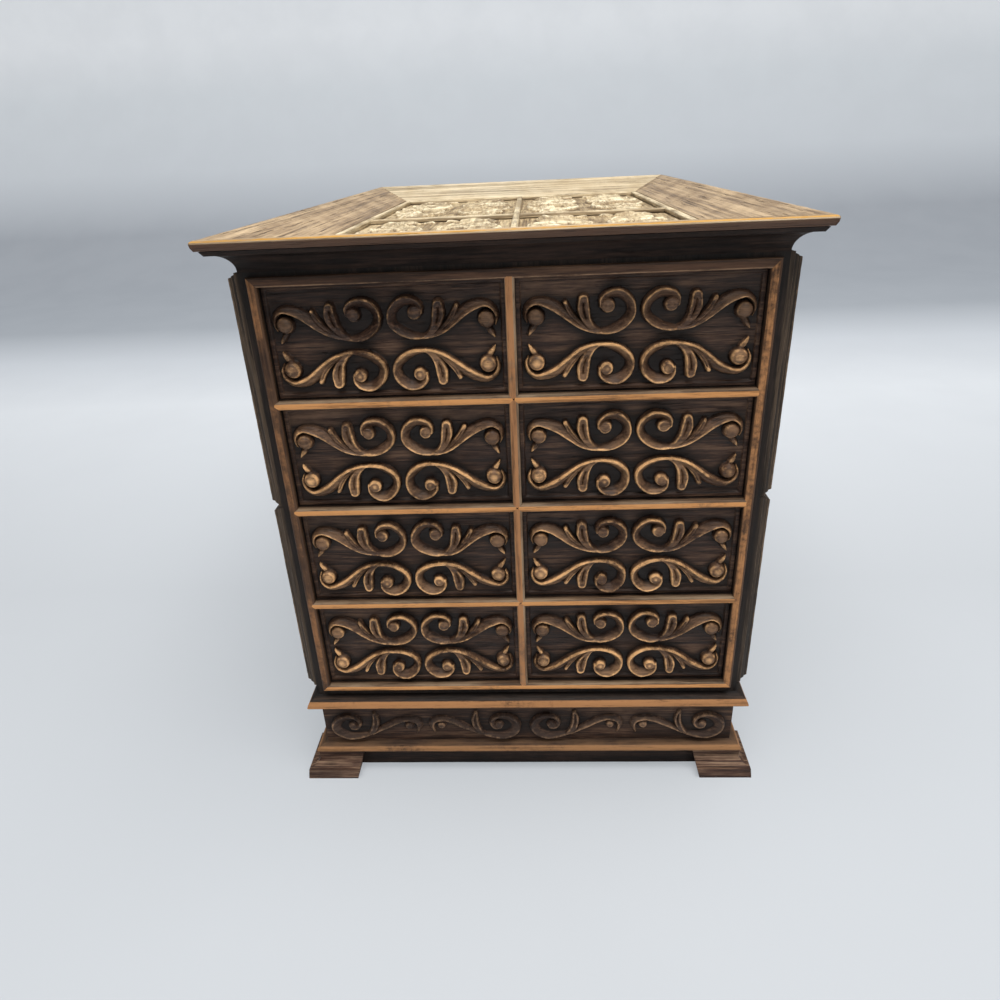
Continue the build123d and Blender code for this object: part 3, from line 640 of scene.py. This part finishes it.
# Ends of strips, as mitre functions for strip
def pointed(o, z):
    return -np.abs(z)


def corner_out(o, z):
    return o


def corner_up(sign):
    return lambda o, z: sign * z


front_out, rise, rightward, toward_back = (0, -1, 0), (0, 0, 1), (1, 0, 0), (0, 1, 0)
FACE_LEVEL = 0.75
half_x, half_z = (GRID_WIDTH - BEAD) / 2, (GRID_HEIGHT - BEAD) / 2
middle_z = GRID_BOTTOM + GRID_HEIGHT / 2
grid_pieces = []
for k in range(1, ROWS):
    z = GRID_BOTTOM + BEAD / 2 + k * ROW_PITCH
    for side in (-1, 1):
        ends = sorted([0.0, side * half_x])
        grid_pieces.append(strip(f"rail_{k}_{'left' if side < 0 else 'right'}", rail_outline(FACE_LEVEL),
                                 (ends[0], -CASE_Y, z), (ends[1], -CASE_Y, z), front_out, rise, pointed,
                                 "front_bead", bead_wood_x, 100 + 10 * k + side))
for k in range(ROWS):
    z = GRID_BOTTOM + BEAD / 2 + k * ROW_PITCH
    grid_pieces.append(strip(f"upright_{k + 1}", bead_outline(FACE_LEVEL), (0, -CASE_Y, z),
                             (0, -CASE_Y, z + ROW_PITCH), front_out, rightward, pointed, "front_bead",
                             bead_wood_z, 200 + k))
for piece in grid_pieces:
    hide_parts("bead_grid")
for name, start, end, up, sign, shape, stuff in (
        ("bead_bottom", (-1, -1), (1, -1), rise, -1, rail_outline, bead_wood_x),
        ("bead_top", (-1, 1), (1, 1), rise, 1, cornice_shade_outline, shaded_top_strip_wood),
        ("bead_left", (-1, -1), (-1, 1), rightward, -1, bead_outline, outer_left_z),
        ("bead_right", (1, -1), (1, 1), rightward, 1, bead_outline, outer_right_z)):
    ends = [(sx * half_x, -CASE_Y, middle_z + sz * half_z) for sx, sz in (start, end)]
    piece = strip("strip_" + name, shape(STRIP_TOP), *ends, front_out, up, corner_up(sign), "front_bead", stuff,
                  300 + len(name))
    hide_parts(name)


# Mouldings that run round the case. Each side has its outward direction and its two ends, as signs.
SIDES = {"front": ((0, -1, 0), (-1, -1), (1, -1)), "right": ((1, 0, 0), (1, -1), (1, 1)),
         "back": ((0, 1, 0), (1, 1), (-1, 1)), "left": ((-1, 0, 0), (-1, 1), (-1, -1))}


def run_round(name, outline, slot_name, materials, node_name, seed, uneven=DENT_DEPTH, step=OUTLINE_STEP):
    """The same outline along all four sides; materials are those of the front, right, back and left in turn."""
    for k, (side, (out, first, last)) in enumerate(SIDES.items()):
        start = (first[0] * CASE_X, first[1] * CASE_Y, 0)
        end = (last[0] * CASE_X, last[1] * CASE_Y, 0)
        piece = strip(f"{name}_{side}", outline, start, end, out, rise, corner_out, slot_name,
                      materials[k % len(materials)], seed + k, uneven, step)
        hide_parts(node_name.format(side=side))


COVE, COVE_FOOT = 7.2, 253.3
cove = [(COVE - COVE * math.cos(a), COVE_FOOT + COVE * math.sin(a), 0.1, 0)
        for a in np.linspace(0.0, math.pi / 2, 12)]
CORNICE = [(0.0, COVE_FOOT, 0, 0)] + cove[1:] + [(8.2, 260.55, 0.2, 0.25), (9.45, 262.35, 0.2, 0.3), (7.5, 262.4, 0, 0),
                                                 (0.0, 258.5, 0, 0)]
# Levels below 0 give the rail's fascia its dark red-brown and darken its underside as painted shade.
TOP_RAIL = [(9.3, 266.55, 0.9, 0.3), (10.6, 266.35, 0.9, 0.75), (11.25, 265.95, 0.8, 1.0), (11.5, 265.55, 0.1, 0.5),
            (11.5, 265.0, -0.7, 0), (11.3, 263.9, -0.7, 0.1), (10.6, 262.55, -1, 0), (7.5, 262.4, -1, 0),
            (0.0, 258.5, 0, 0), (0.0, 255.0, 0, 0), (-7.0, 255.0, 0, 0), (-7.0, 251.0, 0, 0), (-13.5, 251.0, 0, 0),
            (-13.5, 256.5, 0.8, 0.2), (-12.6, 257.0, 0.9, 0.3)]
# Levels below 0 darken the cap's underside and its top slope back to the case: painted shade, with some dirt.
CAP = [(0.0, 42.0, -1, 0), (4.6, 42.0, -1, 0), (5.3, 42.35, 0.7, 0.5), (5.6, 43.0, 1.0, 1.0), (5.1, 44.6, 1.0, 1.0),
       (4.45, 45.8, 0.9, 0.9), (4.0, 46.2, 0.1, 0), (0.0, 47.8, -0.6, 0)]
# Levels below 0 darken the base moulding's underside: painted shade.
BASE = [(0.0, 13.0, -1, 0), (4.2, 13.0, -0.6, 0), (4.95, 13.3, 0.7, 0.5), (5.1, 14.0, 0.9, 0.8), (4.7, 15.2, 0.9, 1.0),
        (4.1, 15.9, 0.8, 0.9), (3.2, 16.15, 0.6, 0.2), (0.0, 17.0, 0.3, 0)]
run_round("cornice", CORNICE, "dark_wood", (dark_wood_x, dark_wood_y), "cornice", 400)
run_round("top_rail", TOP_RAIL, "worn_top_wood", (top_front_wood, top_side_wood, top_back_wood, top_side_wood),
          "top_rail_{side}", 420, 0.2, 1.1)
run_round("cap", CAP, "moulding_wood", (moulding_wood_x, moulding_wood_y), "cap_moulding", 440)
run_round("base", BASE, "moulding_wood", (base_wood_x, base_wood_y), "base_moulding", 460)


# Frieze: quarters of its own scroll, mirrored side by side along the plinth
PLINTH_THICK = 7.0


def frieze_height(u, v):
    out = np.where(np.abs(u) > FRIEZE_FOLD, 2 * FRIEZE_FOLD - np.abs(u), np.abs(u))
    up = v + (FRIEZE_TOP - FRIEZE_BOTTOM) / 2
    a = out + FRIEZE_STRAY * wobble(u, v, 501, 9.0)
    b = up + FRIEZE_STRAY * wobble(u, v, 502, 9.0)
    scroll = frieze_quarter_height(a, b, FRIEZE_RELIEF)
    carved = np.where(scroll > CARVED_FROM, scroll + 0.05 * wobble(u, v, 504, 1.6), 0.0)
    ground = 0.08 * streaks(u, v, 503, 30.0, 1.2) + 0.08
    return np.clip(np.maximum(carved, ground), 0.0, FRIEZE_RELIEF), carved


def frieze_place(u, v, height):
    """The frieze's ends are mitred: its back is shorter than its face by its thickness at each end."""
    mitred = u * (1.0 + np.minimum(height, 0.0) / CASE_X)
    return np.stack([mitred, -CASE_Y - height, (FRIEZE_BOTTOM + FRIEZE_TOP) / 2 + v], -1)


def plinth_outline(bottom, top):
    return [(-PLINTH_THICK, bottom, 0, 0), (0.0, bottom, 0, 0.2), (0.0, top, 0, 0), (-PLINTH_THICK, top, 0, 0)]


plinth_pieces = [relief_slab("frieze", (2 * CASE_X, FRIEZE_TOP - FRIEZE_BOTTOM), FRIEZE_CELL, frieze_height,
                             frieze_place, PLINTH_THICK, "case", "dark_wood", frieze_wood)]
for name, bottom, top, seed in (("skirt_front", SKIRT_BOTTOM, FRIEZE_BOTTOM, 520),
                                ("plinth_front_upper", FRIEZE_TOP, CAP_TOP, 521)):
    plinth_pieces.append(strip(name, plinth_outline(bottom, top), (-CASE_X, -CASE_Y, 0), (CASE_X, -CASE_Y, 0),
                               front_out, rise, corner_out, "dark_wood", dark_wood_x, seed))
for piece in plinth_pieces:
    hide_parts("plinth_front")


# Top panel: the scroll again, larger and turned, in four cells
def top_height(u, v):
    cell_x, cell_y = (TOP_HALF[0] - BEAD / 2) / 2, (TOP_HALF[1] - BEAD / 2) / 2
    x, y = np.abs(u) - cell_x, np.abs(v) - cell_y
    a, b = np.abs(y) / TOP_SCALE[0], np.abs(x) / TOP_SCALE[1]
    a = a + STRAY * wobble(u, v, 601, 16.0)
    b = b + STRAY * wobble(u, v, 602, 16.0)
    scroll = quarter_height(a, b, TOP_RELIEF)
    ground = 0.10 * streaks(v, u, 603, 60.0, 2.4) + 0.10
    rough = 0.10 * wobble(u, v, 604, 2.6)
    lumps = 0.86 + 0.2 * wobble(u, v, 605, 3.6)
    carved = np.where(scroll > CARVED_FROM, scroll * lumps + rough, 0.0)
    return np.clip(np.maximum(carved, ground), 0.0, TOP_RELIEF), carved


def top_place(u, v, height):
    return np.stack([u, v, PANEL_TOP + height], -1)


top_panel = relief_slab("carved_top", (2 * TOP_HALF[0], 2 * TOP_HALF[1]), TOP_CELL, top_height, top_place, 2.4,
                        "case", "top_carving", top_carving)
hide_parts("top_panel")

span_x, span_y = TOP_HALF[0] - BEAD / 2, TOP_HALF[1] - BEAD / 2
crossways, lengthways = (toward_back, top_bead_wood_x), (rightward, top_bead_wood_y)
for name, (x0, y0), (x1, y1), (up, stuff), mitre, seed in (
        ("top_cross_0", (-span_x, 0), (0, 0), crossways, pointed, 620),
        ("top_cross_1", (0, 0), (span_x, 0), crossways, pointed, 621),
        ("top_spine_0", (0, -span_y), (0, 0), lengthways, pointed, 630),
        ("top_spine_1", (0, 0), (0, span_y), lengthways, pointed, 631),
        ("top_edge_y0", (-span_x, -span_y), (span_x, -span_y), crossways, corner_up(-1), 639),
        ("top_edge_x0", (-span_x, -span_y), (-span_x, span_y), lengthways, corner_up(-1), 649),
        ("top_edge_y2", (-span_x, span_y), (span_x, span_y), crossways, corner_up(1), 641),
        ("top_edge_x2", (span_x, -span_y), (span_x, span_y), lengthways, corner_up(1), 651)):
    piece = strip(name, bead_outline(STRIP_TOP), (x0, y0, PANEL_TOP), (x1, y1, PANEL_TOP), rise, up, mitre,
                  "top_bead", stuff, seed)
    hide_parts("top_bead_grid")


# Side panels: four mitred frame boards with stepped edges round a sunk field of upright grain
FRAME_IN = PANEL_STEP + PANEL_BEVEL
FIELD_IN = 18.9
FIELD_BACK = PANEL_FIELD - 0.3
PANEL_OUTLINE = [(0.0, 0.0, 0, 0), (PANEL_TOE - 0.3, 0.0, 0.7, 0.4), (PANEL_TOE, 0.3, 0.9, 0.9),
                 (PANEL_TOE, PANEL_STEP, 0.1, 0), (3.4, 1.35, 0.4, 0.2), (3.9, 1.6, 0.9, 0.7), (3.9, 1.95, 0.1, 0),
                 (5.3, FRAME_IN - 0.1, 0.8, 0.9), (PANEL_FACE, FRAME_IN + 0.4, 0.9, 0.6), (PANEL_FACE, 17.0, 0.6, 0.3),
                 (5.3, 17.5, 0.8, 0.7), (PANEL_FIELD, FIELD_IN, 0.1, 0), (0.0, FIELD_IN, 0, 0)]


def panel_place(side, z0, z1):
    def place(u, v, height):
        return np.stack([side * (CASE_X + FIELD_BACK + height), u, (z0 + z1) / 2 + v], -1)
    return place


def field_height(u, v):
    grain = 0.12 * streaks(v, u, 701, 40.0, 1.5) + 0.05 * wobble(u, v, 702, 3.0) + 0.15
    return np.clip(grain, 0.0, 0.3), np.zeros(u.shape)


for flank, side in (("left", -1), ("right", 1)):
    for level, (z0, z1) in zip(("lower", "upper"), PANEL_Z):
        x, front, back = side * CASE_X, -PANEL_HALF_DEPTH, PANEL_HALF_DEPTH
        runs = (("bottom", (x, front, z0), (x, back, z0), (0, 0, 1), side_wood_y),
                ("top", (x, front, z1), (x, back, z1), (0, 0, -1), side_wood_y),
                ("front", (x, front, z0), (x, front, z1), (0, 1, 0), side_wood_z),
                ("back", (x, back, z0), (x, back, z1), (0, -1, 0), side_wood_z))
        pieces = [strip(f"panel_{flank}_{level}_{name}", PANEL_OUTLINE, start, end, (side, 0, 0), inward,
                        corner_up(-1), "side_wood", stuff, 710 + k, 0.25)
                  for k, (name, start, end, inward, stuff) in enumerate(runs)]
        field_size = (2 * (PANEL_HALF_DEPTH - FIELD_IN) + 0.2, z1 - z0 - 2 * FIELD_IN + 0.2)
        pieces.append(relief_slab(f"panel_{flank}_{level}_field", field_size, FIELD_CELL, field_height,
                                  panel_place(side, z0, z1), FIELD_BACK, "case", "side_wood", side_wood_z))
        for piece in pieces:
            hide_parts(f"side_panel_{flank}_{level}")


# CAD nodes that keep their shape and get a finish
def dress(material, *names):
    for name in names:
        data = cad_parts[name].data
        data.materials.clear()
        data.materials.append(material)


dress(case_wood, "left_side", "right_side", "bottom_board", "top_board", "back_panel", "centre_partition",
      *[f"dust_board_{k}" for k in range(1, ROWS)])
dress(dark_wood_y, "plinth_left", "plinth_right")
dress(dark_wood_x, "plinth_back")
dress(foot_wood, *[f"foot_{a}_{b}" for a in ("front", "back") for b in ("left", "right")])
dress(drawer_wood, *[f"drawer_box_{k}" for k in range(1, COLUMNS * ROWS + 1)])
dress(felt, *[f"drawer_lining_{k}" for k in range(1, COLUMNS * ROWS + 1)])

# Camera, solved from the photograph's bead grid and top corners
YAW, PITCH, ROLL = (math.radians(a) for a in (-3.349, 26.033, -2.733))
CAMERA_AT = Vector((0.00893, -0.4556, 0.29235))
forward = Vector((math.sin(YAW) * math.cos(PITCH), math.cos(YAW) * math.cos(PITCH), -math.sin(PITCH)))
level_right = Vector((math.cos(YAW), -math.sin(YAW), 0.0))
level_up = level_right.cross(forward)
camera_right = math.cos(ROLL) * level_right + math.sin(ROLL) * level_up
camera_up = -math.sin(ROLL) * level_right + math.cos(ROLL) * level_up
camera_data = bpy.data.cameras.new("camera")
camera_data.lens = 26.05
camera_data.sensor_width = 36.0
camera = bpy.data.objects.new("camera", camera_data)
bpy.context.scene.collection.objects.link(camera)
camera.matrix_world = Matrix.Translation(CAMERA_AT) @ Matrix(
    [[camera_right[k], camera_up[k], -forward[k]] for k in range(3)]).to_4x4()
bpy.context.scene.camera = camera

# Floor that curves up into a backdrop, with painted bands of light and shade and a painted glow
FLOOR_REACH, BEND_FROM, BEND_RADIUS, BACKDROP_TOP, TONE_SPAN = 9.0, 1.3, 0.8, 4.0, 3.0
floor_mesh = bpy.data.meshes.new("floor")
profile = [(-FLOOR_REACH, 0.0), (BEND_FROM, 0.0)]
profile += [(BEND_FROM + BEND_RADIUS * math.sin(a), BEND_RADIUS - BEND_RADIUS * math.cos(a))
            for a in np.linspace(0.1, math.pi / 2, 14)]
profile += [(BEND_FROM + BEND_RADIUS, BACKDROP_TOP)]
sheet = [(x, y, z) for y, z in profile for x in (-FLOOR_REACH, FLOOR_REACH)]
floor_mesh.from_pydata(sheet, [], [(2 * k, 2 * k + 1, 2 * k + 3, 2 * k + 2) for k in range(len(profile) - 1)])
floor_mesh.polygons.foreach_set("use_smooth", [True] * len(floor_mesh.polygons))
floor = bpy.data.objects.new("floor", floor_mesh)
bpy.context.scene.collection.objects.link(floor)
floor_paint = bpy.data.materials.new("floor_paint")
floor_paint.use_nodes = True
paper = floor_paint.node_tree
floor_place = node(paper, "ShaderNodeTexCoord").outputs["Object"]
floor_way = node(paper, "ShaderNodeSeparateXYZ", {0: floor_place})
how_far = maths(paper, "ADD", floor_way.outputs["Y"], floor_way.outputs["Z"])
# Lighter and darker bands up the floor and backdrop: painted light and shade.
floor_tone_and_light = ramp(paper, maths(paper, "MULTIPLY", how_far, 1 / TONE_SPAN), [
    (0.0, colour(190, 195, 200)), (0.15, colour(230, 235, 240)), (0.23, colour(214, 220, 227)),
    (0.31, colour(170, 177, 185)), (0.6, colour(164, 170, 178)), (0.66, colour(190, 196, 203)),
    (0.72, colour(212, 218, 224)), (0.83, colour(222, 228, 233)), (0.9, colour(240, 244, 248))])
floor_tone_and_light = mixed(paper, ranged(paper, noise(paper, floor_place, 9.0, 3.0), 0.3, 0.7, 0.0, 0.12), floor_tone_and_light,
                   colour(198, 203, 209))
paper_shader = paper.nodes["Principled BSDF"]
link(paper, mixed(paper, 0.5, floor_tone_and_light, colour(224, 228, 234)), paper_shader.inputs["Base Color"])
paper_shader.inputs["Roughness"].default_value = 0.75
# For camera rays the floor partly glows with its tone: painted light, which also lifts the box's shadow on it.
painted_glow_share = maths(paper, "MULTIPLY", node(paper, "ShaderNodeLightPath").outputs["Is Camera Ray"], 0.6)
glow = node(paper, "ShaderNodeEmission", {"Color": floor_tone_and_light})
blend = node(paper, "ShaderNodeMixShader", {0: painted_glow_share, 1: paper_shader.outputs["BSDF"], 2: glow.outputs["Emission"]})
link(paper, blend.outputs["Shader"], paper.nodes["Material Output"].inputs["Surface"])
floor_mesh.materials.append(floor_paint)

# World and area lamps
world = bpy.data.worlds.new("world")
bpy.context.scene.world = world
world.use_nodes = True
sky = world.node_tree.nodes["Background"].inputs
sky["Color"].default_value = (0.88, 0.9, 0.93, 1.0)
sky["Strength"].default_value = 0.34


def lamp(name, at, target, size, watts, tint):
    data = bpy.data.lights.new(name, "AREA")
    data.shape = "RECTANGLE"
    data.size, data.size_y = size
    data.energy = watts
    data.color = tint
    made = bpy.data.objects.new(name, data)
    bpy.context.scene.collection.objects.link(made)
    made.location = at
    made.rotation_euler = (Vector(target) - Vector(at)).to_track_quat("-Z", "Y").to_euler()


lamp("top_softbox", (0.1, -0.3, 1.25), (0.0, -0.05, 0.15), (1.1, 0.8), 22.0, (1.0, 0.98, 0.95))
lamp("front_fill", (0.55, -1.4, 0.9), (0.0, -0.1, 0.12), (1.2, 0.9), 6.0, (1.0, 0.97, 0.93))
bpy.context.scene.view_settings.view_transform = "Standard"
